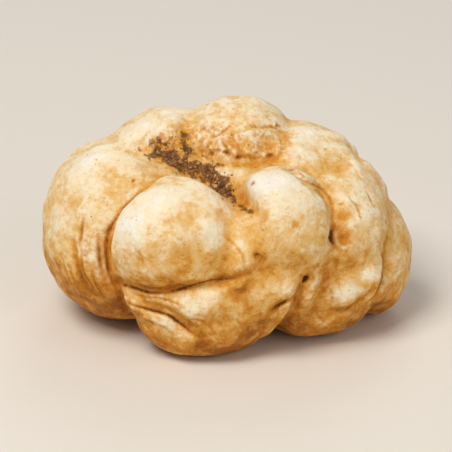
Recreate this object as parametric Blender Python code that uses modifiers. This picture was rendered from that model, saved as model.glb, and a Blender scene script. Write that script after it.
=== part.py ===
"""White truffle: one solid, a knobbly fruiting body with swollen lobes and deep folds.

Metres, +Z up. The origin is under the middle of the body, on the surface that it rests on.
-Y is the side with the two round front lobes and the open fold above them.
"""

import math

import bmesh
import bpy
import numpy as np
from mathutils import Euler, Matrix, Vector, kdtree, noise
from mathutils.bvhtree import BVHTree

# Driving dimension: the greatest width, left to right.
WIDTH = 0.080

# Every other length is in this unit, an eightieth of the width.
UNIT = WIDTH / 80

# Name, centre (x, y, z), radii (x, y, z) and turn in degrees about x, y and z.
LOBES = (
    ("heart", (0, 4, 23), (30, 22, 18), (0, 0, 0)),
    ("front left", (-10.3, -14, 26.8), (14.8, 14, 12.5), (0, 0, 0)),
    ("front right", (11.5, -12, 28.7), (11.5, 13, 12), (0, 0, 0)),
    ("saddle", (3, -14, 23.5), (8, 11.5, 11.5), (0, 0, 0)),
    ("bridge", (8.5, -13.6, 19), (12.5, 12, 11.5), (0, 0, 0)),
    ("jaw", (-6, -15.2, 15.4), (16, 12.2, 8.8), (0, 0, 0)),
    ("chin", (-4, -15.5, 11.2), (15.5, 11.5, 10.2), (0, 0, 0)),
    ("left cheek", (-23.5, 2, 21.6), (16.3, 20, 19.8), (0, 0, 0)),
    ("upper left", (-11.5, 8, 33), (12.6, 15, 13.6), (0, 0, 0)),
    ("left slope", (-17, 6, 31.5), (12, 14, 12.3), (0, 0, 0)),
    ("crown", (1.7, 9, 34.2), (14.6, 15, 14.3), (0, 0, 0)),
    ("upper right", (14.6, 7, 30.7), (15.2, 15, 12.5), (0, 8, 0)),
    ("right shoulder", (21, 0, 22.8), (14.5, 18, 15), (0, 20, 0)),
    ("right flank", (22.6, 0.5, 24.8), (12.9, 15.5, 13), (0, 0, 0)),
    ("right knob", (23.8, -5.6, 15.2), (11, 13, 9.8), (0, 0, 0)),
    ("right foot", (18.5, -6.2, 10.4), (13, 13, 9.4), (0, 0, 0)),
    ("right end", (30.5, 2, 15.8), (9.7, 13, 13.2), (0, -6, 0)),
    ("back left", (-18, 14, 20), (15, 14, 15.5), (0, 0, 22)),
    ("back middle", (-5, 19, 27), (13, 12, 12), (20, 0, 0)),
    ("back right", (14, 16.5, 24.5), (16, 13, 13.5), (0, -10, -12)),
    ("back foot", (-5, 17.5, 13), (14.5, 12, 12.8), (0, 0, 0)),
    ("back heel", (16, 15, 12.5), (13.5, 11.5, 12), (0, 0, 0)),
)
LOBE_SUBDIVISIONS = 5

# The height at which the lowest lobes are cut flat, for the body to rest on.
FLOOR = 2.0

# Two lobes that press together, and the depth and half width of the crease between them.
CREASES = (
    ("left cheek", "back left", 0.9, 1.8),
    ("upper left", "back left", 0.7, 2.0),
    ("upper left", "back middle", 0.5, 2.2),
    ("crown", "back middle", 1.3, 1.6),
    ("crown", "back right", 1.0, 1.8),
    ("right flank", "back right", 0.6, 2.0),
    ("right end", "back heel", 1.0, 1.6),
    ("back left", "back middle", 1.6, 1.6),
    ("back middle", "back right", 2.0, 1.7),
    ("back left", "back foot", 0.7, 1.8),
    ("back middle", "back foot", 0.4, 2.2),
    ("back right", "back foot", 1.5, 1.6),
    ("back right", "back heel", 0.3, 2.2),
    ("back foot", "back heel", 1.5, 1.6),
)

# Where folds are drawn from: azimuth, which is 0 looking along +Y, and elevation, in degrees.
VIEWS = {"front": (0, 24.3), "back": (180, 20), "left": (-90, 15), "right": (90, 15)}
VIEW_CENTRE = (0, 0, 23)
VIEW_DISTANCE = 733

# View, depth, half width and the points right of and above the view's centre.
FOLDS = (
    (
        "front", 4.4, 2.6,
        ((-18, 16.8), (-16.3, 16.3), (-12, 14.6), (-7.7, 12.8), (-4, 11.2), (-0.7, 8.9), (2.5, 5.8), (5.5, 2.3)),
    ),
    ("front", 2.6, 3.2, ((-17, 17), (-13.5, 16.2), (-10, 15), (-6, 13.4))),
    ("front", 2.0, 1.8, ((-8, 24), (-8.8, 20.6), (-8.5, 17), (-8.1, 12.9))),
    (
        "front", 2.0, 1.1,
        ((-12.1, 12), (-16.3, 9.3), (-22.3, 4.5), (-25.4, -1.9), (-25.5, -8.4), (-23.3, -13.7), (-20.4, -19.3)),
    ),
    (
        "front", 1.2, 0.9,
        ((-23.3, -11.6), (-17.4, -13.7), (-13, -14), (-8.8, -13.3), (-1.3, -12.1), (5.2, -10)),
    ),
    ("front", 1.6, 1.2, ((-21.3, -14.3), (-16.4, -17.5), (-11.5, -19.3), (-7.8, -22.4), (-5.9, -25.5))),
    ("front", 1.4, 0.9, ((9.4, -18.9), (11.7, -17.1), (13.5, -15.8))),
    (
        "front", 2.0, 1.4,
        ((10.5, -23), (12.9, -20.6), (14.9, -18.2), (16.1, -14.9), (17.4, -11.3)),
    ),
    ("front", 0.8, 2.0, ((17.8, 9.2), (19.6, 8), (21.5, 6.2), (22.6, 3.6), (22.9, -0.5), (22, -4))),
    ("front", 0.8, 1.3, ((11.5, 13), (13.7, 12), (16.1, 10.5), (18.5, 8.8), (20.4, 7.2))),
    ("front", 0.9, 1.2, ((33.4, -3.8), (34.3, -8.9), (33.6, -12.9), (31.9, -16.2), (30.3, -19.8))),
    ("front", 1.0, 1.2, ((19, -19), (22.5, -18.8), (26.3, -17.8), (29.6, -16), (32.4, -13))),
    ("front", 0.8, 1.6, ((-2.7, 12.9), (0.8, 12.9), (6.5, 13.2), (11.3, 14.1), (13.3, 16.6))),
    ("front", 0.9, 1.0, ((-33, -3.3), (-32.2, -7.7), (-30.4, -12.6), (-28.4, -14.9), (-24.3, -16.1))),
    ("back", 1.1, 1.1, ((-30, 13), (-25, 8), (-26, 1), (-21, -4), (-22, -11))),
    ("back", 0.8, 1.1, ((1, 14), (5, 9), (9, 5), (10, -1), (7, -8))),
    ("back", 0.8, 1.1, ((24, 13), (28, 6), (25, -1), (29, -8), (26, -14))),
    ("left", 1.3, 1.4, ((-3, 12), (-7, 4), (-5, -4), (-9, -12))),
    ("right", 1.3, 1.4, ((5, 13), (9, 6), (8, -2), (12, -9))),
)

# View, depth, radius and the point right of and above the view's centre.
PITS = (
    ("front", 2.2, 0.9, (17.2, -11.3)),
    ("front", 2.0, 1.3, (22.8, -2.6)),
    ("back", 1.8, 1.0, (-13, 6)),
    ("left", 1.5, 0.9, (-12, 7)),
)
PIT_LENGTH = 0.4

# A fold's depth is this share of a half wave, so that it fades out at both ends.
FADE_START = 0.08
FADE_SPAN = 0.84
FADE_POWER = 0.6
PROFILE_POWER = 1.5
LIP_HEIGHT = 0.16
LIP_PLACE = 2.2

VOXEL = 0.8
CREASE_SMOOTHING = 3
FOLD_SMOOTHING = 2
SWELL = ((14, 0.5), (6, 0.3))
FOLD_STEP = 0.5
NORMAL_REACH = 6
TRIANGLES = 11000

SKIN_COLOUR = (0.80, 0.62, 0.36, 1.0)
SKIN_ROUGHNESS = 0.62


def clear_scene():
    for old in list(bpy.data.objects):
        bpy.data.objects.remove(old)


def apply_modifiers(body):
    graph = bpy.context.evaluated_depsgraph_get()
    mesh = bpy.data.meshes.new_from_object(body.evaluated_get(graph))
    body.modifiers.clear()
    body.data = mesh


def turned(turn):
    return Euler([math.radians(angle) for angle in turn])


def lobe_cluster():
    """All lobes as overlapping ellipsoids in one mesh."""
    cluster = bmesh.new()
    for _, centre, radii, turn in LOBES:
        place = Matrix.LocRotScale(Vector(centre) * UNIT, turned(turn), Vector(radii) * UNIT)
        bmesh.ops.create_icosphere(cluster, subdivisions=LOBE_SUBDIVISIONS, radius=1, matrix=place)
    mesh = bpy.data.meshes.new("truffle")
    cluster.to_mesh(mesh)
    cluster.free()
    return mesh


def wrap_in_one_skin(body):
    """Remeshes the overlapping lobes as one closed surface."""
    remesh = body.modifiers.new("one skin", "REMESH")
    remesh.mode = "VOXEL"
    remesh.voxel_size = VOXEL * UNIT
    apply_modifiers(body)


def soften(body, passes):
    smooth = body.modifiers.new("soften", "SMOOTH")
    smooth.factor = 0.5
    smooth.iterations = passes
    apply_modifiers(body)


def points_and_normals(mesh):
    points = np.empty(len(mesh.vertices) * 3)
    normals = np.empty(len(mesh.vertices) * 3)
    mesh.vertices.foreach_get("co", points)
    mesh.vertices.foreach_get("normal", normals)
    return points.reshape(-1, 3), normals.reshape(-1, 3)


def set_points(mesh, points):
    mesh.vertices.foreach_set("co", points.ravel())
    mesh.update()


def distance_outside(points, name):
    """About how far each point lies outside a lobe, in units, and below zero inside it."""
    _, centre, radii, turn = next(lobe for lobe in LOBES if lobe[0] == name)
    local = (points / UNIT - centre) @ np.array(turned(turn).to_matrix())
    level = np.linalg.norm(local / radii, axis=1)
    slope = np.linalg.norm(local / np.square(radii), axis=1)
    return level * (level - 1) / slope


def press_together(mesh):
    """Sinks the lines along which lobes meet."""
    points, normals = points_and_normals(mesh)
    push = np.zeros(len(points))
    for first, second, depth, half_width in CREASES:
        away = np.hypot(distance_outside(points, first), distance_outside(points, second))
        push = np.maximum(push, depth * np.exp(-((away / half_width) ** PROFILE_POWER)))
    set_points(mesh, points - normals * (push * UNIT)[:, None])


def swell(mesh):
    """Pushes the skin in and out by slow noise, so that no lobe is a true ellipsoid."""
    points, normals = points_and_normals(mesh)
    for wavelength, height in SWELL:
        size = wavelength * UNIT
        push = np.array([noise.noise(Vector(point) / size) for point in points])
        points += normals * (push * 2 * height * UNIT)[:, None]
    set_points(mesh, points)


def dropper(mesh, view):
    """A function that drops a point of a view onto the skin, and gives the place and its normal."""
    tree = BVHTree.FromPolygons(
        [vertex.co for vertex in mesh.vertices],
        [face.vertices for face in mesh.polygons],
    )
    azimuth, elevation = (math.radians(angle) for angle in VIEWS[view])
    turn = Matrix.Rotation(azimuth, 3, "Z") @ Matrix.Rotation(-elevation, 3, "X")
    right, ahead, up = (turn @ Vector(axis) for axis in ((1, 0, 0), (0, 1, 0), (0, 0, 1)))
    centre = Vector(VIEW_CENTRE) * UNIT
    eye = centre - ahead * VIEW_DISTANCE * UNIT

    def drop(place):
        target = centre + right * place[0] * UNIT + up * place[1] * UNIT
        hit, normal, _, _ = tree.ray_cast(eye, (target - eye).normalized())
        return hit, normal

    return drop


def along(points, step):
    """Places at about equal steps on a smooth curve through the points, with their share of its length."""
    ends = [2 * Vector(points[0]) - Vector(points[1])]
    ends += [Vector(point) for point in points]
    ends += [2 * Vector(points[-1]) - Vector(points[-2])]
    places = []
    for before, start, stop, after in zip(ends, ends[1:], ends[2:], ends[3:]):
        count = max(1, round((stop - start).length / step))
        for i in range(count):
            t = i / count
            bend = start * 2 + (stop - before) * t
            bend += (before * 2 - start * 5 + stop * 4 - after) * t**2
            bend += (start * 3 - before - stop * 3 + after) * t**3
            places.append(bend / 2)
    places.append(ends[-2])
    return [(place, i / (len(places) - 1)) for i, place in enumerate(places)]


def track_on_skin(drop, points):
    """Where a drawn line lands on the skin, the skin's averaged normal and the fold's strength there."""
    drops = [(*drop(place), share) for place, share in along(points, FOLD_STEP)]
    drops = [dropped for dropped in drops if dropped[0] is not None]
    track = []
    for i, (hit, _, share) in enumerate(drops):
        near = drops[max(0, i - NORMAL_REACH) : i + NORMAL_REACH + 1]
        normal = sum((other[1] for other in near), Vector()).normalized()
        fade = math.sin(math.pi * (FADE_START + FADE_SPAN * share)) ** FADE_POWER
        track.append((hit, normal, fade))
    return track


def carve(mesh, drop, depth, half_width, points):
    """Sinks a fold along a drawn line, with a low lip on each side."""
    track = track_on_skin(drop, points)
    tree = kdtree.KDTree(len(track))
    for i, (hit, _, _) in enumerate(track):
        tree.insert(hit, i)
    tree.balance()
    coords, _ = points_and_normals(mesh)
    reach = half_width * UNIT * (LIP_PLACE + 2)
    for i, point in enumerate(coords):
        _, nearest, distance = tree.find(point)
        if distance > reach:
            continue
        x = distance / (half_width * UNIT)
        lip = LIP_HEIGHT * math.exp(-((x - LIP_PLACE) ** 2))
        _, normal, fade = track[nearest]
        push = (lip - math.exp(-(x**PROFILE_POWER))) * depth * UNIT * fade
        coords[i] += np.array(normal) * push
    set_points(mesh, coords)


def fold_and_pit(mesh):
    droppers = {view: dropper(mesh, view) for view in VIEWS}
    for view, depth, half_width, points in FOLDS:
        carve(mesh, droppers[view], depth, half_width, points)
    for view, depth, radius, (x, z) in PITS:
        ends = ((x - PIT_LENGTH / 2, z), (x + PIT_LENGTH / 2, z))
        carve(mesh, droppers[view], depth, radius, ends)


def thin_out(body):
    """Keeps the faces where the skin bends most."""
    count = sum(len(face.vertices) - 2 for face in body.data.polygons)
    decimate = body.modifiers.new("fewer faces", "DECIMATE")
    decimate.ratio = min(1.0, TRIANGLES / count)
    apply_modifiers(body)


def rest_flat(body):
    """Cuts the lowest lobes off level and closes the cuts, so the body rests on flat spots."""
    shape = bmesh.new()
    shape.from_mesh(body.data)
    everything = shape.verts[:] + shape.edges[:] + shape.faces[:]
    cut = bmesh.ops.bisect_plane(
        shape, geom=everything, plane_co=(0, 0, FLOOR * UNIT), plane_no=(0, 0, -1), clear_outer=True
    )
    rim = [item for item in cut["geom_cut"] if isinstance(item, bmesh.types.BMEdge)]
    bmesh.ops.edgenet_fill(shape, edges=rim)
    bmesh.ops.recalc_face_normals(shape, faces=shape.faces)
    bmesh.ops.triangulate(shape, faces=shape.faces)
    shape.to_mesh(body.data)
    shape.free()


def set_width_and_centre(mesh):
    """Scales the body evenly to its true width, with the middle of its base on the origin."""
    points, _ = points_and_normals(mesh)
    low, high = points.min(axis=0), points.max(axis=0)
    points -= ((low[0] + high[0]) / 2, (low[1] + high[1]) / 2, low[2])
    set_points(mesh, points * (WIDTH / (high[0] - low[0])))


def skin_material():
    skin = bpy.data.materials.new("skin")
    skin.use_nodes = True
    shader = skin.node_tree.nodes["Principled BSDF"]
    shader.inputs["Base Color"].default_value = SKIN_COLOUR
    shader.inputs["Roughness"].default_value = SKIN_ROUGHNESS
    skin.diffuse_color = SKIN_COLOUR
    return skin


def main():
    clear_scene()
    collection = bpy.data.collections.new("white_truffle")
    bpy.context.scene.collection.children.link(collection)
    body = bpy.data.objects.new("truffle", lobe_cluster())
    collection.objects.link(body)
    wrap_in_one_skin(body)
    soften(body, CREASE_SMOOTHING)
    press_together(body.data)
    swell(body.data)
    fold_and_pit(body.data)
    soften(body, FOLD_SMOOTHING)
    thin_out(body)
    rest_flat(body)
    set_width_and_centre(body.data)
    body.data.materials.clear()
    body.data.materials.append(skin_material())
    body.data.shade_smooth()


main()
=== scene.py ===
"""The looks of the white truffle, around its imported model.

The skin is a finer copy of the solid, with the small creases, wrinkles and pits that the photo
shows. Loose earth lies in the upper fold. Metres, +Z up; -Y is the side that the photo shows.
"""

import math

import bmesh
import bpy
import numpy as np
from mathutils import Matrix, Vector, kdtree, noise
from mathutils.bvhtree import BVHTree


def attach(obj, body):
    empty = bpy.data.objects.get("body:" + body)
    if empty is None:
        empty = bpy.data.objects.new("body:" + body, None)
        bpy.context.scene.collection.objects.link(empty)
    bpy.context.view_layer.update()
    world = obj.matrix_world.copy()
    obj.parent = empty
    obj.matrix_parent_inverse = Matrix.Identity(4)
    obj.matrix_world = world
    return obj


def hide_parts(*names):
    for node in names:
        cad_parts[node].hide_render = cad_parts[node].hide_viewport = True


MM = 0.001

# The photo's camera: looking along +Y from 24 degrees up. Places on the front are given in
# millimetres right of and above the middle of its view.
ELEVATION = math.radians(24.3)
VIEW_CENTRE = Vector((-0.3, -1.5, 21.1)) * MM
EYE_DISTANCE = 736 * MM
WINDOW = 97.4 * MM
SENSOR = 36

# The fine copy of the solid, and the share of its faces that is kept at the end.
FINE_STEP = 0.38 * MM
SKIN_SUBDIVISIONS = 2
SKIN_SMOOTHING = 4
FACES_KEPT = 0.70

# Steps along a line that is drawn in the view, in its millimetres, and along one that wanders.
DRAWN_STEP = 0.3
WALK_STEP = 0.35 * MM
LOOK_AHEAD = 1.4

# A place counts as hidden from the photo when the skin in front of it is this far nearer.
HIDDEN_GAP = 1.5 * MM

# How hollowness is measured: rounds of averaging, and the depth in millimetres that counts as 1.
WIDE_HOLLOW = (120, 0.9)
SMALL_HOLLOW = (10, 0.10)

# Unevenness of the skin: wavelength and height, in millimetres.
LUMPS = ((9, 0.30), (4.2, 0.20), (2.0, 0.10), (1.1, 0.045))

# Creases in the photo: depth, half width, stain and painted shade, where 1 is dark brown, and places along
# each.
FRONT_CREASES = (
    (0.40, 0.35, 1.1, ((-24.4, -12.4), (-21.1, -12.9), (-17.1, -14.2), (-13.5, -14.4))),
    (0.30, 0.35, 1.0, (
        (-16.5, -14.2), (-12.5, -14.2), (-7.5, -12.9), (-2.9, -11.7), (2.1, -11.2), (5, -10.4),
    )),
    (0.40, 0.35, 1.1, (
        (-22.6, -15.5), (-20.1, -17), (-16.6, -18), (-13, -19), (-10.5, -20.5), (-7.5, -22.8), (-5.5, -24.5),
    )),
    (0.25, 0.30, 0.6, ((-21.5, -13.6), (-18, -15.2), (-14, -15.6), (-10.5, -16.8), (-8, -18.6))),
    (0.35, 0.40, 0.8, (
        (-16, 9.6), (-19.4, 6.6), (-22.6, 3.4), (-25.2, -1.2), (-25.7, -6), (-24.9, -10.6), (-22.4, -15.2),
        (-20.8, -19.4),
    )),
    (0.45, 0.50, 0.7, ((-33, -3.3), (-32.2, -7.7), (-30.4, -12.6), (-28.4, -14.9), (-24.3, -16.1))),
    (0.45, 0.45, 0.8, ((-31.2, -5.5), (-31, -9.2), (-28.9, -13.2), (-26.8, -16.6))),
    (0.35, 0.50, 0.7, ((-29.2, -8), (-28.6, -11.6), (-26.9, -14.6), (-25.2, -17.4))),
    (0.30, 0.50, 0.7, ((-27.6, -1), (-27.4, -4.4), (-26.9, -8.6), (-25.8, -12.6))),
    (0.25, 0.35, 0.5, ((-35.6, -6), (-34.2, -10.6), (-32, -14.8), (-29.2, -18))),
    (0.30, 0.40, 0.7, ((-30.6, 2.2), (-31.2, -1.2), (-31.5, -4.4))),
    (0.30, 0.40, 0.6, ((-34, -8.6), (-32.4, -13), (-29.6, -17))),
    (0.25, 0.40, 0.95, ((9.2, -18.9), (10.8, -17.4), (12.4, -16.4), (14, -15.7))),
    (0.20, 0.35, 0.6, ((11, -22.4), (13, -19.8), (15, -17.6), (16.1, -14.4), (17.2, -11.6))),
    (0.15, 0.40, 0.5, ((14.6, -21.6), (15.2, -19), (15.4, -16.4))),
    (0.12, 0.40, 0.35, ((17.6, -10.8), (19, -9.2), (20.7, -7.7), (22.4, -5.4))),
    (0.70, 0.50, 1.2, ((23.2, -0.2), (22.7, -1.6), (22.7, -3), (23.2, -4.2))),
    (0.30, 0.35, 0.6, (
        (14.7, 11.3), (16.8, 9.8), (20.3, 8.3), (21.8, 6.8), (22.9, 4.6), (23.1, 1.6), (22.9, -1),
    )),
    (0.45, 0.50, 0.9, ((33.3, -4.6), (33.9, -8.2), (33.5, -11.8), (32.2, -15), (29.9, -17.4))),
    (0.25, 0.40, 0.7, ((20, -18.6), (22.8, -18), (25.3, -18.3), (27.6, -16.7), (30.6, -14.6), (32, -12))),
    (0.20, 0.35, 0.7, ((19, -16.6), (19.8, -19.2), (21.8, -21))),
    (0.18, 0.40, 0.4, ((21.8, -13), (22.8, -15), (22.9, -17.6))),
    (0.20, 0.30, 0.4, ((-1.4, -1.6), (1.6, -3.8), (3.6, -6.6), (4.2, -9.6))),
    (0.18, 0.30, 0.4, ((-20.4, -4.2), (-18.4, -6.4), (-17.6, -8.8))),
    (0.08, 0.30, 0.15, ((-12.4, 1.2), (-11.2, -1.6), (-9.4, -3.6), (-8.9, -6))),
    (0.20, 0.30, 0.5, ((1.2, -19.8), (3.4, -21.6), (4, -24.2))),
    (0.20, 0.30, 0.5, ((-9.6, -21.4), (-6.9, -20.2), (-3.9, -21.4), (-1.8, -23.8))),
    (0.18, 0.30, 0.4, ((26.4, 6.4), (28.4, 3.8), (29.4, 0.6))),
    (0.18, 0.30, 0.4, ((29.8, 8.8), (31.2, 5.6), (32.4, 3.4))),
)

# The scabby, wrinkled hollow in front of the crown.
CROWN_CREASES = (
    (0.20, 0.60, 0.4, ((-2.7, 13.2), (0.8, 13.2), (4, 13), (7.6, 13.6), (10.6, 14.4), (12.6, 16))),
    (0.30, 0.35, 0.7, ((-1, 18.4), (0.2, 16.8), (0, 15.2))),
    (0.30, 0.40, 0.6, ((1.6, 19), (2.6, 17.2), (3.2, 15.4), (5.4, 14.6), (8.4, 14.6))),
    (0.25, 0.35, 0.6, ((4.6, 21.8), (7.2, 21.2), (10, 21.4), (12.2, 20.2))),
    (0.25, 0.35, 0.6, ((-4.4, 20.4), (-2.4, 19.4), (-0.6, 20.4), (1.6, 22))),
    (0.25, 0.35, 0.6, ((-6, 15.4), (-4.2, 16.8), (-3, 18.6))),
)

# Raised lines: height, half width, how pale, and the points.
RIDGES = (
    (0.50, 0.65, 0.4, (
        (1.4, 17.6), (2.6, 19.4), (5.2, 20), (8, 19.8), (10.6, 18.8), (11.4, 16.4), (10, 14.6),
    )),
    (0.40, 0.55, 0.3, ((3.4, 16.6), (5, 15.8), (6.4, 16.4), (6.2, 18))),
    (0.35, 0.50, 0.6, ((-2, 19.4), (-1.4, 17.8), (-1.6, 16.2))),
    (0.30, 0.50, 0.5, ((-6.4, 19.8), (-5, 18.4), (-4.8, 16.6))),
    (0.45, 0.42, 0.9, ((23.5, -1.2), (23.7, -2.8), (24.4, -4.3), (25.6, -4.6), (27, -4.2))),
    # The lip under the notch is paler: partly pale skin, partly a painted highlight.
    (0.60, 0.50, 0.6, ((9.8, -19.8), (11.4, -18.2), (13, -17), (14.2, -16.5))),
    (0.20, 0.90, 0.5, ((-30.2, -2), (-30, -5), (-29.2, -8))),
    (0.30, 0.60, 0.5, ((-18.4, -19.4), (-14.6, -20.6), (-11.4, -22.4))),
)

# Pits: depth (below 0 is a small bump), radius, stain and painted shade, and place.
PITS = (
    (0.9, 0.55, 1.5, (17.0, -11.5)),
    (-0.4, 0.45, 0.6, (18.3, -11)),
    (0.7, 1.50, 0.6, (25.2, -2.6)),
    (0.10, 0.9, 0.4, (25.2, 1.8)),
    (0.5, 0.45, 0.9, (6.5, -6.3)),
    (0.2, 0.50, 0.5, (14.9, 0.4)),
    (0.2, 0.45, 0.6, (34.5, 0.6)),
    (0.3, 0.28, 1.0, (-20, 9.7)),
    (0.3, 0.30, 0.9, (-18.6, 16.4)),
    (0.7, 2.20, 0.2, (8.2, 17.2)),
    (0.5, 0.50, 1.0, (-3, 15.6)),
    (0.5, 0.50, 1.0, (0.2, 15.8)),
    (0.5, 0.50, 1.0, (2.7, 14.8)),
    (0.5, 0.50, 1.0, (9.4, 15.1)),
    (0.3, 0.40, 0.8, (11, 21.8)),
    (0.3, 0.40, 0.8, (5.8, 9.2)),
)

# Earth in the upper fold and its branch: half width, share that is covered, and the line it lies on.
EARTH = (
    (2.5, 0.85, ((-14.4, 16.2), (-12.2, 15), (-9.4, 13.6), (-6.8, 12.4))),
    (2.3, 0.9, ((-4, 11.6), (-2.6, 10.4), (-1.2, 9), (-0.4, 8))),
    (1.4, 0.5, ((-8.6, 12), (-6, 10.8), (-3.4, 9.4))),
    (1.2, 0.75, ((-0.2, 7.8), (0.6, 6.4), (1.6, 5.2))),
    (1.1, 0.65, ((1.6, 5.2), (3.4, 4.2), (5.2, 2.8))),
    (2.0, 0.52, ((-9.6, 19.6), (-9.2, 18.4), (-8.6, 16.8), (-8.2, 15))),
    (3.0, 0.04, ((-16, 18), (-11, 18.6), (-6, 17))),
)
EARTH_RISE = 0.12
CRUMBS = 300
CRUMB_SIZE = 0.15
LARGEST_CRUMB = 0.6

# Scabby skin: half width, height and the line it lies along.
ROUGH = (
    (4.6, 0.14, ((-2, 18.4), (2, 18), (7, 18), (11, 18.6))),
    (3.0, 0.12, ((-13, 18), (-10, 20), (-6, 19), (-3.5, 16.5))),
    (3.0, 0.14, ((13.5, 12), (17, 10.2), (20, 8.4))),
    (4.0, 0.05, ((-31, -6), (-29.5, -11), (-27, -15.5))),
    (1.7, 0.22, ((16, -12.8), (17.2, -11.4), (18.4, -10.2))),
    (1.5, 0.22, ((22.8, 0.6), (22.9, -2), (23.6, -4.6))),
    (1.5, 0.20, ((9.6, -18.8), (12, -17), (14.2, -15.8))),
)

# Soft places in the colour, pale above 0 and golden brown below: strength, radius and place. Some stand for
# light and shade, as noted.
PATCHES = (
    (0.9, 4.5, (-30.2, 12.3)),
    (-0.7, 2.2, (-8.8, 18.6)),
    (-0.6, 1.2, (0.4, 17.6)),
    (-0.6, 1.1, (5.2, 21.4)),
    (-0.7, 1.1, (9.6, 14.9)),
    (-0.7, 1.1, (2.4, 14.4)),
    (-0.6, 1.3, (13.2, 19.4)),
    (-0.35, 3.0, (-12, 14)),
    (0.5, 3.0, (-26.5, 17)),
    (1.5, 4.6, (-21.3, -0.6)),
    (0.9, 5.0, (-16.5, 3.8)),
    (0.7, 3.0, (-11.5, 6.3)),
    (0.7, 2.5, (-22.6, -9.8)),
    (0.6, 3.5, (-3.9, -1.3)),
    (0.5, 4.0, (-10.5, 25.4)),
    (-0.5, 4.0, (2.5, 24.5)),
    (1.3, 4.2, (11.7, 9.6)),
    (1.0, 3.0, (6.0, 8.2)),
    (0.8, 3.5, (17.8, 19.4)),
    (0.5, 3.5, (28.4, 5.2)),
    (1.3, 3.2, (25.1, -15.0)),
    (0.8, 2.4, (30.4, -9.9)),
    (0.8, 3.2, (-7.5, -17.5)),
    (0.7, 3.2, (-12.5, -23)),
    (0.5, 2.0, (-30.6, -5.2)),
    (0.5, 2.0, (36, -11)),
    (-1.0, 5.5, (-30.2, -13.5)),
    # Painted light: the lit left edge of the cheek.
    (1.1, 4.0, (-37, 1)),
    (-0.5, 4.0, (-22.6, 11.3)),
    (0.7, 4.5, (-17.5, 20)),
    (-0.7, 3.0, (-10.5, -12.4)),
    (-0.5, 2.6, (-10, -5.9)),
    (-0.7, 2.8, (4.1, -12.9)),
    (-0.7, 2.5, (1.6, -15.2)),
    (0.1, 3.0, (8.2, 17.4)),
    (-0.2, 2.5, (3.2, 14.6)),
    (-1.0, 2.4, (24.9, -2.9)),
    (-0.5, 2.0, (25.4, 2.2)),
    (-0.7, 2.6, (31.6, -14.4)),
    # Painted shade: the deep shade between the truffle and the board.
    (-0.9, 3.6, (26.5, -21)),
    (-0.9, 2.6, (15.3, -19.5)),
    (-0.6, 4.0, (-4, -27)),
    (-0.6, 3.0, (5, -22)),
    (-0.6, 2.6, (38.5, -3)),
    (-0.6, 1.5, (14.9, 0.4)),
    (-0.6, 1.1, (6.5, -6.3)),
    (-0.4, 3.0, (19.5, 12)),
    (-0.9, 4.0, (-26.6, -16.6)),
    (1.2, 1.1, (-29.3, -17.6)),
    (1.0, 0.9, (-27, -15.2)),
    (0.9, 0.9, (-31.8, -14.4)),
    (-0.9, 1.5, (-24.6, -18.4)),
    (0.9, 1.3, (-30.6, -16.2)),
    (0.8, 1.4, (-33.6, -11.6)),
    (0.7, 1.3, (-28.4, -7.2)),
    (-1.0, 2.2, (-22.6, -16.5)),
    (-1.0, 2.2, (16.6, -21.5)),
    (-0.9, 2.0, (14.2, -17)),
    (0.5, 2.6, (20.5, -23)),
    (-0.4, 2.4, (31, -17.8)),
    (-0.7, 2.8, (-8.6, 1.6)),
    (-0.6, 2.2, (-15, 9.2)),
    (-0.6, 4.5, (7.5, -5.5)),
    (-0.15, 4.5, (5, 21)),
    (-0.5, 4.5, (24.5, 12)),
    (-0.5, 2.5, (-15.5, 10.2)),
    (-0.4, 3.0, (-14, -4.5)),
    (-0.5, 3.0, (-12, 20)),
)

# What the photo doesn't show gets marks of the same kind. Of these, only the hidden ones are made.
FAR_PATCHES = 60
FAR_CREASES = 46
FAR_PITS = 12

# The creases there start where the wide hollowness is above this.
LOW_GROUND = 0.35

# Small marks all over.
WRINKLES = 110
PORES = 60

SEED = 7

# Linear colours.
PALE = (0.96, 0.90, 0.78)
CREAM = (0.94, 0.81, 0.58)
TAN = (0.87, 0.62, 0.31)
GOLD = (0.78, 0.43, 0.10)
AMBER = (0.64, 0.25, 0.02)
RUST = (0.36, 0.110, 0.007)
BROWN = (0.11, 0.041, 0.007)
EARTH_DARK = (0.125, 0.050, 0.016)
EARTH_MID = (0.32, 0.150, 0.052)
EARTH_PALE = (0.62, 0.36, 0.13)


def apply_modifiers(piece):
    graph = bpy.context.evaluated_depsgraph_get()
    mesh = bpy.data.meshes.new_from_object(piece.evaluated_get(graph))
    piece.modifiers.clear()
    piece.data = mesh


def fine_copy(node):
    """The solid's surface with its facets rounded off, in even small faces."""
    shape = bmesh.new()
    shape.from_mesh(node.data)
    bmesh.ops.remove_doubles(shape, verts=shape.verts, dist=0.001 * MM)
    mesh = bpy.data.meshes.new("truffle_skin")
    shape.to_mesh(mesh)
    shape.free()
    piece = bpy.data.objects.new("truffle_skin", mesh)
    bpy.context.scene.collection.objects.link(piece)
    rounding = piece.modifiers.new("round", "SUBSURF")
    rounding.levels = SKIN_SUBDIVISIONS
    remesh = piece.modifiers.new("even", "REMESH")
    remesh.mode = "VOXEL"
    remesh.voxel_size = FINE_STEP
    smooth = piece.modifiers.new("smooth", "SMOOTH")
    smooth.factor = 0.5
    smooth.iterations = SKIN_SMOOTHING
    apply_modifiers(piece)
    return piece


def read_vectors(items, name):
    values = np.empty(len(items) * 3)
    items.foreach_get(name, values)
    return values.reshape(-1, 3)


def set_points(mesh, points):
    mesh.vertices.foreach_set("co", points.ravel())
    mesh.update()


def tree_of(mesh):
    return BVHTree.FromPolygons(
        [vertex.co for vertex in mesh.vertices],
        [face.vertices for face in mesh.polygons],
    )


def photo_eye():
    """The way back towards the photo's camera, and its place."""
    back = Vector((0, -math.cos(ELEVATION), math.sin(ELEVATION)))
    return back, VIEW_CENTRE + back * EYE_DISTANCE


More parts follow.
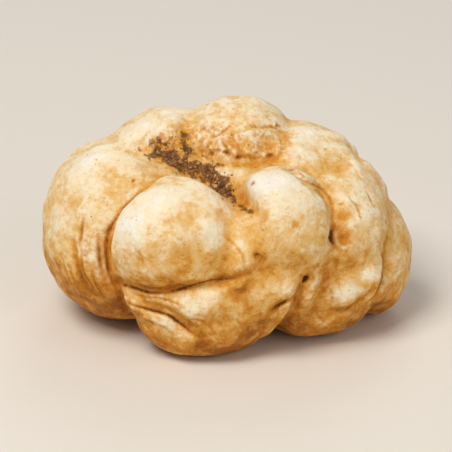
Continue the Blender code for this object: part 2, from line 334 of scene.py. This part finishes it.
def dropper(tree):
    """A function that drops a place in the photo's view onto the skin."""
    back, eye = photo_eye()
    right = Vector((1, 0, 0))
    up = back.cross(right)

    def drop(place):
        target = VIEW_CENTRE + right * place[0] * MM + up * place[1] * MM
        return tree.ray_cast(eye, (target - eye).normalized())[0]

    return drop


def hidden(tree, place):
    """Whether the photo doesn't show this place on the skin."""
    _, eye = photo_eye()
    way = Vector(place) - eye
    distance = tree.ray_cast(eye, way.normalized())[3]
    return distance is not None and distance < way.length - HIDDEN_GAP


def curve_through(points, step):
    """Places at about equal steps on a smooth curve through the points."""
    ends = [2 * Vector(points[0]) - Vector(points[1])]
    ends += [Vector(point) for point in points]
    ends += [2 * Vector(points[-1]) - Vector(points[-2])]
    places = []
    for before, start, stop, after in zip(ends, ends[1:], ends[2:], ends[3:]):
        count = max(1, round((stop - start).length / step))
        for i in range(count):
            t = i / count
            bend = start * 2 + (stop - before) * t
            bend += (before * 2 - start * 5 + stop * 4 - after) * t**2
            bend += (start * 3 - before - stop * 3 + after) * t**3
            places.append(bend / 2)
    places.append(ends[-2])
    return places


def drawn(drop, points):
    """The places on the skin under a smooth curve through points in the view."""
    track = [drop(place) for place in curve_through(points, DRAWN_STEP)]
    return [place for place in track if place is not None]


def distances(points, track, reach):
    """For the points within reach of a track: their numbers, their distances and how far along they lie."""
    track = np.array(track)
    low, high = track.min(axis=0) - reach, track.max(axis=0) + reach
    near = np.flatnonzero(((points > low) & (points < high)).all(axis=1))
    tree = kdtree.KDTree(len(track))
    for i, place in enumerate(track):
        tree.insert(place, i)
    tree.balance()
    found = [tree.find(points[i]) for i in near]
    away = np.array([item[2] for item in found])
    share = np.array([item[1] for item in found]) / max(1, len(track) - 1)
    inside = away < reach
    return near[inside], away[inside], share[inside]


class Relief:
    """The skin's points, with what presses them in or out and what colours them."""

    def __init__(self, mesh):
        self.mesh = mesh
        self.points = read_vectors(mesh.vertices, "co")
        self.normals = read_vectors(mesh.vertices, "normal")
        self.tree = tree_of(mesh)
        self.push = np.zeros(len(self.points))
        self.stain_and_shade = np.zeros(len(self.points))
        self.earth = np.zeros(len(self.points))
        self.rough = np.zeros(len(self.points))
        self.pale = np.zeros(len(self.points))

    def groove(self, track, depth, half_width, stain_and_shade):
        """A groove that fades out at its ends, with a low lip on each side."""
        if len(track) < 2:
            return
        size = half_width * MM
        which, away, share = distances(self.points, track, size * 4.5)
        x = away / size
        fade = np.sin(np.pi * (0.06 + 0.88 * share)) ** 0.7
        press = 0.12 * np.exp(-((x - 2.4) ** 2)) - np.exp(-(x**1.6))
        self.push[which] += press * depth * fade * MM
        # The brown along the groove is partly stain and partly painted shade.
        shade = stain_and_shade * fade * (0.6 * np.exp(-((x / 1.9) ** 1.5)) + 0.6 * np.exp(-((x / 1.1) ** 2)))
        self.stain_and_shade[which] = np.maximum(self.stain_and_shade[which], shade)

    def ridge(self, track, height, half_width, paleness):
        size = half_width * MM
        which, away, share = distances(self.points, track, size * 3)
        rise = np.sin(np.pi * (0.04 + 0.92 * share)) ** 0.7 * np.exp(-((away / size) ** 2))
        rise = rise * (1 + 0.6 * noise_at(self.points[which], 1.6))
        self.push[which] += rise * height * MM
        self.pale[which] += rise * paleness

    def pit(self, place, depth, radius, stain_and_shade):
        if place is None:
            return
        size = radius * MM
        which, away, _ = distances(self.points, [place], size * 4)
        x = away / size * (1 + 0.6 * noise_at(self.points[which], radius * 1.6))
        press = 0.12 * np.exp(-((x - 2) ** 2)) - np.exp(-(x**2.2))
        self.push[which] += press * depth * MM
        # A pit's brown is partly stain and partly painted shade.
        self.stain_and_shade[which] = np.maximum(self.stain_and_shade[which], stain_and_shade * np.exp(-((x / 1.7) ** 2)))

    def patch(self, place, strength, radius):
        """A soft pale or golden place with a ragged edge."""
        if place is None:
            return
        size = radius * MM
        which, away, _ = distances(self.points, [place], size * 2.6)
        ragged = 1 + 0.5 * noise_at(self.points[which], radius * 0.8)
        self.pale[which] += strength * np.exp(-((away / size * ragged) ** 2))

    def swell(self):
        for wavelength, height in LUMPS:
            size = wavelength * MM
            lift = np.array([noise.noise(Vector(point) / size) for point in self.points])
            self.push += lift * height * MM

    def apply(self):
        self.points = self.points + self.normals * self.push[:, None]
        self.points[:, 2] = np.maximum(self.points[:, 2], 0)
        self.push[:] = 0
        set_points(self.mesh, self.points)
        self.normals = read_vectors(self.mesh.vertices, "normal")
        self.tree = tree_of(self.mesh)


def walk(tree, start, heading, length, bend, rng):
    """A wandering line on the skin."""
    place, normal, _, _ = tree.find_nearest(start)
    track = [place]
    heading = heading - normal * heading.dot(normal)
    for _ in range(int(length * MM / WALK_STEP)):
        turn = Matrix.Rotation(float(rng.normal(0, bend)), 3, normal)
        heading = (turn @ heading).normalized()
        place, normal, _, _ = tree.find_nearest(place + heading * WALK_STEP)
        heading = heading - normal * heading.dot(normal)
        track.append(place)
    return track


def lowest_way(relief, hollow, place, heading, normal, turns):
    """The heading, among those turned from the given one, with the lowest ground ahead."""
    heading = (heading - normal * heading.dot(normal)).normalized()
    ways = [Matrix.Rotation(turn, 3, normal) @ heading for turn in turns]
    faces = [relief.tree.find_nearest(place + way * LOOK_AHEAD * MM)[2] for way in ways]
    corners = [relief.mesh.polygons[face].vertices[0] for face in faces]
    return ways[int(np.argmax(hollow[corners]))]


def valley(relief, hollow, start, length, rng):
    """A line on the skin that keeps to the low ground between lobes."""
    place, normal, _, _ = relief.tree.find_nearest(start)
    way = Vector(rng.normal(size=3))
    way = lowest_way(relief, hollow, place, way, normal, np.arange(8) * math.pi / 4)
    track = [place]
    for _ in range(int(length * MM / WALK_STEP)):
        turns = rng.normal(0, 0.05) + np.array((0, -0.3, 0.3))
        way = lowest_way(relief, hollow, place, way, normal, turns)
        place, normal, _, _ = relief.tree.find_nearest(place + way * WALK_STEP)
        track.append(place)
    return track


def mean_of_neighbours(values, edges, passes):
    """Values at the points, averaged with those of their neighbours over and over."""
    count = np.bincount(edges.ravel(), minlength=len(values))
    count = np.maximum(count, 1)[:, None]
    for _ in range(passes):
        total = np.stack(
            [
                np.bincount(edges[:, 0], values[edges[:, 1], k], len(values))
                + np.bincount(edges[:, 1], values[edges[:, 0], k], len(values))
                for k in range(values.shape[1])
            ],
            axis=1,
        )
        values = (values + total / count) / 2
    return values


def hollowness(mesh, passes, full_depth):
    """How far each point lies below its surroundings, from -1 on a ridge to 1 in a hollow."""
    points = read_vectors(mesh.vertices, "co")
    normals = read_vectors(mesh.vertices, "normal")
    edges = np.empty(len(mesh.edges) * 2, int)
    mesh.edges.foreach_get("vertices", edges)
    average = mean_of_neighbours(points, edges.reshape(-1, 2), passes)
    depth = ((average - points) * normals).sum(axis=1)
    return np.clip(depth / (full_depth * MM), -1, 1)


def lowness(relief):
    """Near 1 on the faces that look down or lie near the board, 0 on the top. The skin's colour darkens by
    it, partly as painted shade.
    """
    height = relief.points[:, 2] / relief.points[:, 2].max()
    return np.clip(0.75 - 0.9 * height - 0.55 * relief.normals[:, 2], -0.5, 1)


def store(mesh, name, values):
    attribute = mesh.attributes.new(name, "FLOAT", "POINT")
    attribute.data.foreach_set("value", values.astype(np.float32))


def mark_front(relief, drop):
    """The creases, pits and raised lines that the photo shows."""
    for depth, half_width, stain_and_shade, points in FRONT_CREASES + CROWN_CREASES:
        relief.groove(drawn(drop, points), depth, half_width, stain_and_shade)
    for depth, radius, stain_and_shade, place in PITS:
        relief.pit(drop(place), depth, radius, stain_and_shade)
    for height, half_width, paleness, points in RIDGES:
        relief.ridge(drawn(drop, points), height, half_width, paleness)


def any_place(relief, rng):
    return relief.points[rng.integers(len(relief.points))]


def wrinkle(relief, rng):
    for _ in range(WRINKLES):
        start = Vector(any_place(relief, rng))
        heading = Vector(rng.normal(size=3))
        track = walk(relief.tree, start, heading, rng.uniform(2.5, 9), 0.22, rng)
        depth = rng.uniform(0.05, 0.15)
        relief.groove(track, depth, rng.uniform(0.35, 0.6), rng.uniform(0.0, 0.3))


def mark_far_side(relief, hollow, rng):
    """Creases along the low ground, and pits, where the photo doesn't show the skin."""
    low_ground = np.flatnonzero(hollow > LOW_GROUND)
    for _ in range(FAR_CREASES):
        start = relief.points[rng.choice(low_ground)]
        track = valley(relief, hollow, start, rng.uniform(6, 18), rng)
        if all(hidden(relief.tree, place) for place in track):
            relief.groove(track, rng.uniform(0.15, 0.4), rng.uniform(0.4, 0.6), rng.uniform(0.4, 0.9))
    for _ in range(FAR_PITS):
        place = any_place(relief, rng)
        if hidden(relief.tree, place):
            relief.pit(place, rng.uniform(0.4, 0.9), rng.uniform(0.4, 0.6), rng.uniform(0.8, 1.3))


def add_pores(relief, rng):
    for _ in range(PORES):
        place = any_place(relief, rng)
        relief.pit(place, rng.uniform(0.05, 0.25), rng.uniform(0.2, 0.4), rng.uniform(0.0, 0.45))


def add_patches(relief, drop, rng):
    for strength, radius, place in PATCHES:
        relief.patch(drop(place), strength, radius)
    for _ in range(FAR_PATCHES):
        place = any_place(relief, rng)
        if hidden(relief.tree, place):
            relief.patch(place, rng.choice((-0.6, 0.6)), rng.uniform(2, 5))


def store_all(relief, hollow):
    """What the material reads at each point."""
    mesh = relief.mesh
    store(mesh, "stain_and_shade", relief.stain_and_shade)
    store(mesh, "rough", relief.rough)
    store(mesh, "pale", relief.pale)
    store(mesh, "earth", relief.earth)
    # The two hollownesses and the lowness darken the skin's colour, partly as painted shade.
    store(mesh, "hollow_small_shade", hollowness(mesh, *SMALL_HOLLOW))
    store(mesh, "hollow_wide_shade", hollow)
    store(mesh, "low", lowness(relief))


def model_skin(node):
    rng = np.random.default_rng(SEED)
    piece = fine_copy(node)
    relief = Relief(piece.data)
    relief.swell()
    relief.apply()
    drop = dropper(relief.tree)
    mark_front(relief, drop)
    wrinkle(relief, rng)
    hollow = hollowness(piece.data, *WIDE_HOLLOW)
    mark_far_side(relief, hollow, rng)
    add_pores(relief, rng)
    roughen(relief, drop)
    add_patches(relief, drop, rng)
    lay_earth(relief, drop)
    relief.apply()
    store_all(relief, hollow)
    thin = piece.modifiers.new("thin", "DECIMATE")
    thin.ratio = FACES_KEPT
    apply_modifiers(piece)
    piece.data.shade_smooth()
    return piece, relief


def noise_at(points, wavelength):
    return np.array([noise.noise(Vector(point) / (wavelength * MM)) for point in points])


def grains_at(points, wavelength):
    """Rounded grains: from about -0.3 in the cracks to 0.5 on the grains."""
    nearest = [noise.voronoi(Vector(point) / (wavelength * MM))[0] for point in points]
    return np.array([min(far - near, 0.8) for near, far, _, _ in nearest]) - 0.3


def roughen(relief, drop):
    """Scabs: small ridges with hollows between them."""
    for half_width, height, points in ROUGH:
        track = drawn(drop, points)
        size = half_width * MM
        which, away, _ = distances(relief.points, track, size * 1.6)
        near = relief.points[which]
        edge = np.clip(1.4 - away / size + noise_at(near, 3) * 0.8, 0, 1)
        ridge = 0.5 - np.abs(noise_at(near, 1.7) + 0.5 * noise_at(near, 0.8)) * 1.6
        ridge += grains_at(near, 1.3)
        relief.push[which] += edge * ridge * height * MM
        relief.rough[which] = np.maximum(relief.rough[which], edge)
        # The hollows between the scabs are darker: partly stain, partly painted shade.
        relief.stain_and_shade[which] = np.maximum(relief.stain_and_shade[which], edge * np.clip(0.3 - ridge * 0.5, 0, 0.42))


def lay_earth(relief, drop):
    for half_width, cover, points in EARTH:
        track = drawn(drop, points)
        size = half_width * MM
        which, away, _ = distances(relief.points, track, size * 2)
        ragged = noise_at(relief.points[which], 1.6)
        fine = noise_at(relief.points[which], 0.7)
        edge = 1.3 * cover - away / size + ragged * 0.9 + fine * 0.5
        share = np.clip(edge * 1.3, 0, 1)
        new = np.maximum(relief.earth[which], share)
        gain = new - relief.earth[which]
        relief.earth[which] = new
        relief.push[which] += gain * (EARTH_RISE + fine * 0.35) * MM


def pebble_shapes(rng, count):
    """A few rough grain shapes, each as points round the origin, and the faces that they share."""
    ball = bmesh.new()
    bmesh.ops.create_icosphere(ball, subdivisions=2, radius=1)
    points = np.array([vertex.co for vertex in ball.verts])
    faces = np.array([[vertex.index for vertex in face.verts] for face in ball.faces])
    ball.free()
    shapes = []
    for _ in range(count):
        offset = Vector(rng.uniform(-50, 50, 3))
        bumps = np.array([noise.noise(Vector(point) * 1.4 + offset) for point in points])
        stretch = rng.uniform(0.65, 1.2, 3)
        shapes.append(points * (1 + 0.55 * bumps)[:, None] * stretch)
    return shapes, faces


def earth_crumbs(relief):
    """Loose grains of earth, half sunk in the fold."""
    rng = np.random.default_rng(SEED + 1)
    shapes, faces = pebble_shapes(rng, 12)
    drop = dropper(relief.tree)
    lines = [
        (half_width * cover**2, half_width, curve_through(points, DRAWN_STEP))
        for half_width, cover, points in EARTH
    ]
    weights = np.array([weight * len(line) for weight, _, line in lines])
    all_points, all_faces, tones = [], [], []
    for _ in range(CRUMBS):
        _, half_width, line = lines[rng.choice(len(lines), p=weights / weights.sum())]
        place = line[rng.integers(len(line))] + Vector(rng.normal(0, half_width * 0.55, 2))
        hit = drop(place)
        if hit is None:
            continue
        _, normal, _, _ = relief.tree.find_nearest(hit)
        size = min(CRUMB_SIZE * rng.lognormal(0, 0.6), LARGEST_CRUMB) * MM
        turn = np.array(Vector(rng.normal(size=3)).to_track_quat("Z", "Y").to_matrix())
        sunk = np.array(hit) - np.array(normal) * size * 0.3
        shape = shapes[rng.integers(len(shapes))] @ turn * size + sunk
        all_faces.append(faces + len(all_points) * len(shape))
        all_points.append(shape)
        tones.append(np.full(len(shape), rng.uniform()))
    mesh = bpy.data.meshes.new("earth_crumbs")
    mesh.from_pydata(np.concatenate(all_points).tolist(), [], np.concatenate(all_faces).tolist())
    store(mesh, "tone", np.concatenate(tones))
    mesh.shade_smooth()
    piece = bpy.data.objects.new("earth_crumbs", mesh)
    bpy.context.scene.collection.objects.link(piece)
    return piece


class Nodes:
    """Short calls that add nodes to a material."""

    def __init__(self, name):
        self.material = bpy.data.materials.new(name)
        self.material.use_nodes = True
        self.tree = self.material.node_tree
        self.shader = self.tree.nodes["Principled BSDF"]
        coordinates = self.tree.nodes.new("ShaderNodeTexCoord")
        self.place = coordinates.outputs["Object"]

    def connect(self, value, socket):
        if isinstance(value, bpy.types.NodeSocket):
            self.tree.links.new(value, socket)
        else:
            socket.default_value = value

    def attribute(self, name):
        node = self.tree.nodes.new("ShaderNodeAttribute")
        node.attribute_name = name
        return node.outputs["Fac"]

    def noise(self, wavelength, detail=3.0, roughness=0.55, distortion=0.0, place=None):
        node = self.tree.nodes.new("ShaderNodeTexNoise")
        node.inputs["Scale"].default_value = 1 / (wavelength * MM)
        node.inputs["Detail"].default_value = detail
        node.inputs["Roughness"].default_value = roughness
        node.inputs["Distortion"].default_value = distortion
        self.connect(self.place if place is None else place, node.inputs["Vector"])
        return node.outputs["Fac"]

    def cells(self, wavelength, place):
        """The distance to the nearest of many scattered points."""
        node = self.tree.nodes.new("ShaderNodeTexVoronoi")
        node.inputs["Scale"].default_value = 1 / (wavelength * MM)
        self.connect(place, node.inputs["Vector"])
        return node.outputs["Distance"]

    def math(self, operation, first, second):
        node = self.tree.nodes.new("ShaderNodeMath")
        node.operation = operation
        self.connect(first, node.inputs[0])
        self.connect(second, node.inputs[1])
        return node.outputs["Value"]

    def weigh(self, *parts):
        """The sum of values, each times its weight."""
        total = 0.0
        for value, weight in parts:
            node = self.tree.nodes.new("ShaderNodeMath")
            node.operation = "MULTIPLY_ADD"
            self.connect(value, node.inputs[0])
            node.inputs[1].default_value = weight
            self.connect(total, node.inputs[2])
            total = node.outputs["Value"]
        return total

    def ramp(self, value, start, stop, low=0.0, high=1.0):
        """Follows value smoothly from low at start to high at stop."""
        node = self.tree.nodes.new("ShaderNodeMapRange")
        node.interpolation_type = "SMOOTHSTEP"
        self.connect(value, node.inputs["Value"])
        for name, number in zip(("From Min", "From Max", "To Min", "To Max"), (start, stop, low, high)):
            node.inputs[name].default_value = number
        return node.outputs["Result"]

    def mix(self, share, first, second):
        node = self.tree.nodes.new("ShaderNodeMix")
        node.data_type = "RGBA"
        self.connect(share, node.inputs["Factor"])
        for value, socket in ((first, node.inputs["A"]), (second, node.inputs["B"])):
            self.connect(value if isinstance(value, bpy.types.NodeSocket) else (*value, 1), socket)
        return node.outputs["Result"]

    def shifted(self, wavelength, amount):
        """The object's coordinates, bent by noise, so that what reads them has no straight run."""
        node = self.tree.nodes.new("ShaderNodeTexNoise")
        node.inputs["Scale"].default_value = 1 / (wavelength * MM)
        node.inputs["Detail"].default_value = 2.0
        self.connect(self.place, node.inputs["Vector"])
        scaled = self.tree.nodes.new("ShaderNodeVectorMath")
        scaled.operation = "MULTIPLY_ADD"
        self.connect(node.outputs["Color"], scaled.inputs[0])
        scaled.inputs[1].default_value = (amount * MM,) * 3
        self.connect(self.place, scaled.inputs[2])
        return scaled.outputs["Vector"]

    def bump(self, height, distance, before=None):
        node = self.tree.nodes.new("ShaderNodeBump")
        node.inputs["Strength"].default_value = 1.0
        node.inputs["Distance"].default_value = distance * MM
        self.connect(height, node.inputs["Height"])
        if before is not None:
            self.connect(before, node.inputs["Normal"])
        return node.outputs["Normal"]


def skin_material():
    n = Nodes("truffle_skin")
    stain_and_shade = n.attribute("stain_and_shade")
    earth = n.attribute("earth")
    rough = n.attribute("rough")
    pale = n.attribute("pale")
    small_shade = n.attribute("hollow_small_shade")
    wide_shade = n.attribute("hollow_wide_shade")
    low = n.attribute("low")
    bent = n.shifted(4, 1.6)

    blotch = n.noise(7, 5, 0.6, 0.3)
    mottle = n.noise(2.6, 6, 0.66, 0.3, bent)
    fleck = n.noise(0.8, 5, 0.7)
    small_patch = n.noise(1.5, 5, 0.7, 0.3, bent)

    # From cream on the tops to gold and amber in the hollows and low down, in ragged patches. The darkening
    # in the hollows is painted shade; low down it is partly the skin's colour and partly painted shade and
    # painted warm light bounced from the board, and the paler tops are partly painted light.
    level = n.weigh(
        (blotch, 0.60),
        (mottle, 0.61),
        (small_patch, 0.45),
        (fleck, 0.30),
        (wide_shade, 0.24),
        (small_shade, 0.10),
        (low, 0.24),
        (rough, 0.05),
        (pale, -0.26),
    )
    level = n.math("SUBTRACT", level, 0.212)
    # The undersides darken further in ragged patches: partly the skin's colour, partly painted shade.
    underside_colour_and_shade = n.weigh((low, 1.0), (blotch, 0.8), (mottle, 0.9), (small_patch, 0.9))
    level = n.math("ADD", level, n.ramp(underside_colour_and_shade, 1.55, 2.45, 0.0, 0.31))
    colour = n.mix(n.ramp(level, 0.18, 0.46), PALE, CREAM)
    colour = n.mix(n.ramp(level, 0.44, 0.72), colour, TAN)
    colour = n.mix(n.ramp(level, 0.60, 0.92), colour, GOLD)
    colour = n.mix(n.ramp(level, 0.84, 1.12), colour, AMBER)
    colour = n.mix(n.math("MULTIPLY", n.ramp(level, 1.02, 1.40), 0.95), colour, RUST)

    # Low down, the dark brown, which is partly painted shade, is worn off in ragged golden flecks.
    worn = n.ramp(n.noise(2.8, 4, 0.6, 0.3, bent), 0.46, 0.68)
    worn = n.math("MULTIPLY", worn, n.ramp(level, 0.95, 1.25))
    colour = n.mix(n.math("MULTIPLY", worn, 0.7), colour, GOLD)

    # Creases and pits are darker, with ragged edges: partly brown stain, partly painted shade.
    ragged = n.weigh((stain_and_shade, 1.0), (earth, 0.75), (small_patch, 1.4))
    ragged = n.math("SUBTRACT", ragged, 0.7)
    colour = n.mix(n.math("MULTIPLY", n.ramp(ragged, 0.05, 0.6), 0.7), colour, AMBER)
    colour = n.mix(n.math("MULTIPLY", n.ramp(ragged, 0.45, 0.95), 0.85), colour, RUST)
    colour = n.mix(n.math("MULTIPLY", n.ramp(ragged, 0.80, 1.15), 0.9), colour, BROWN)

    # Brown specks, and smaller dark dots that gather on rough skin and near the earth.
    speck = n.ramp(n.cells(1.2, n.shifted(1.5, 0.8)), 0.10, 0.28, 1.0, 0.0)
    speck = n.math("MULTIPLY", speck, n.ramp(n.noise(2.3, 1), 0.56, 0.68))
    colour = n.mix(n.math("MULTIPLY", speck, 0.5), colour, RUST)
    dot = n.ramp(n.cells(0.9, n.shifted(1, 0.7)), 0.10, 0.28, 1.0, 0.0)
    near = n.weigh((n.noise(3.4, 2), 1.0), (rough, 0.10), (earth, 0.30), (pale, -0.07))
    dot = n.math("MULTIPLY", dot, n.ramp(near, 0.57, 0.72))
    colour = n.mix(n.math("MULTIPLY", dot, 0.7), colour, BROWN)

    # Powdery earth with paler grains and a ragged edge.
    grain = n.noise(0.38, 4, 0.75)
    clump = n.noise(1.3, 4, 0.7)
    soil = n.mix(n.ramp(clump, 0.38, 0.62), EARTH_DARK, EARTH_MID)
    soil = n.mix(n.ramp(grain, 0.53, 0.64), soil, EARTH_PALE)
    uneven = n.weigh((earth, 1.0), (grain, 2.0), (clump, 1.2))
    cover = n.math("MULTIPLY", n.ramp(uneven, 1.95, 2.45), n.ramp(earth, 0.02, 0.20))
    colour = n.mix(cover, colour, soil)

    n.connect(colour, n.shader.inputs["Base Color"])
    n.connect(n.ramp(mottle, 0.3, 0.7, 0.50, 0.68), n.shader.inputs["Roughness"])
    n.shader.inputs["Specular IOR Level"].default_value = 0.22
    n.shader.inputs["Subsurface Weight"].default_value = 0.22
    n.shader.inputs["Subsurface Radius"].default_value = (1.0, 0.55, 0.25)
    n.shader.inputs["Subsurface Scale"].default_value = 1.5 * MM

    relief = n.bump(n.noise(1.2, 4, 0.6, 0.4), 0.32)
    relief = n.bump(fleck, 0.14, relief)
    relief = n.bump(small_patch, 0.24, relief)
    relief = n.bump(n.math("MULTIPLY", cover, grain), 0.4, relief)
    n.connect(relief, n.shader.inputs["Normal"])
    return n.material


def earth_material():
    n = Nodes("earth")
    tone = n.attribute("tone")
    grain = n.noise(0.4, 3, 0.65)
    level = n.math("ADD", tone, n.math("MULTIPLY", n.math("SUBTRACT", grain, 0.5), 0.6))
    colour = n.mix(n.ramp(level, 0.15, 0.55), EARTH_DARK, EARTH_MID)
    colour = n.mix(n.ramp(level, 0.58, 0.85), colour, EARTH_PALE)
    n.connect(colour, n.shader.inputs["Base Color"])
    n.shader.inputs["Roughness"].default_value = 0.9
    n.connect(n.bump(grain, 0.12), n.shader.inputs["Normal"])
    return n.material


def floor_and_light():
    bpy.ops.mesh.primitive_plane_add(size=6)
    floor = bpy.context.object
    floor.name = "floor"
    finish = bpy.data.materials.new("floor")
    finish.use_nodes = True
    shader = finish.node_tree.nodes["Principled BSDF"]
    shader.inputs["Base Color"].default_value = (0.80, 0.75, 0.68, 1)
    shader.inputs["Roughness"].default_value = 0.8
    floor.data.materials.append(finish)
    # Name, place, size, power and colour.
    lights = (
        ("key", (-0.30, -0.34, 0.74), 0.42, 5.3, (1.0, 0.96, 0.90)),
        ("fill", (0.70, -0.60, 0.45), 0.70, 2.0, (1.0, 0.97, 0.93)),
        ("rim", (0.15, 0.80, 0.65), 0.50, 1.6, (1.0, 1.0, 1.0)),
    )
    for name, place, size, power, colour in lights:
        lamp = bpy.data.lights.new(name, "AREA")
        lamp.size = size
        lamp.energy = power
        lamp.color = colour
        stand = bpy.data.objects.new(name, lamp)
        stand.location = place
        stand.rotation_euler = (VIEW_CENTRE - Vector(place)).to_track_quat("-Z", "Y").to_euler()
        bpy.context.scene.collection.objects.link(stand)
    world = bpy.data.worlds.new("studio")
    world.use_nodes = True
    world.node_tree.nodes["Background"].inputs["Color"].default_value = (1.0, 0.99, 0.98, 1)
    world.node_tree.nodes["Background"].inputs["Strength"].default_value = 0.28
    bpy.context.scene.world = world


def photo_camera():
    """The photo's direction, distance and perspective, framed on the truffle."""
    back, eye = photo_eye()
    lens = bpy.data.cameras.new("camera")
    lens.sensor_width = SENSOR
    lens.lens = SENSOR / 2 / (WINDOW / 2 / EYE_DISTANCE)
    camera = bpy.data.objects.new("camera", lens)
    camera.location = eye
    camera.rotation_euler = (-back).to_track_quat("-Z", "Y").to_euler()
    bpy.context.scene.collection.objects.link(camera)
    bpy.context.scene.camera = camera
    bpy.context.scene.view_settings.view_transform = "Standard"


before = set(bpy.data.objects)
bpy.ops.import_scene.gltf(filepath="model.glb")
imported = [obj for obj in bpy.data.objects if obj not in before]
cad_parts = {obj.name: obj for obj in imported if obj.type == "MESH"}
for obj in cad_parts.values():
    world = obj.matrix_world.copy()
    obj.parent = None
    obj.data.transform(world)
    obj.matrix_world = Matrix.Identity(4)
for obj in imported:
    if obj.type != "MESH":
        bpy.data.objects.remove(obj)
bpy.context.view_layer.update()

skin, skin_relief = model_skin(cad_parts["truffle"])
skin.data.materials.clear()
skin.data.materials.append(skin_material())
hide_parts("truffle")
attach(skin, "root")

crumbs = earth_crumbs(skin_relief)
crumbs.data.materials.append(earth_material())
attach(crumbs, "root")

floor_and_light()
photo_camera()
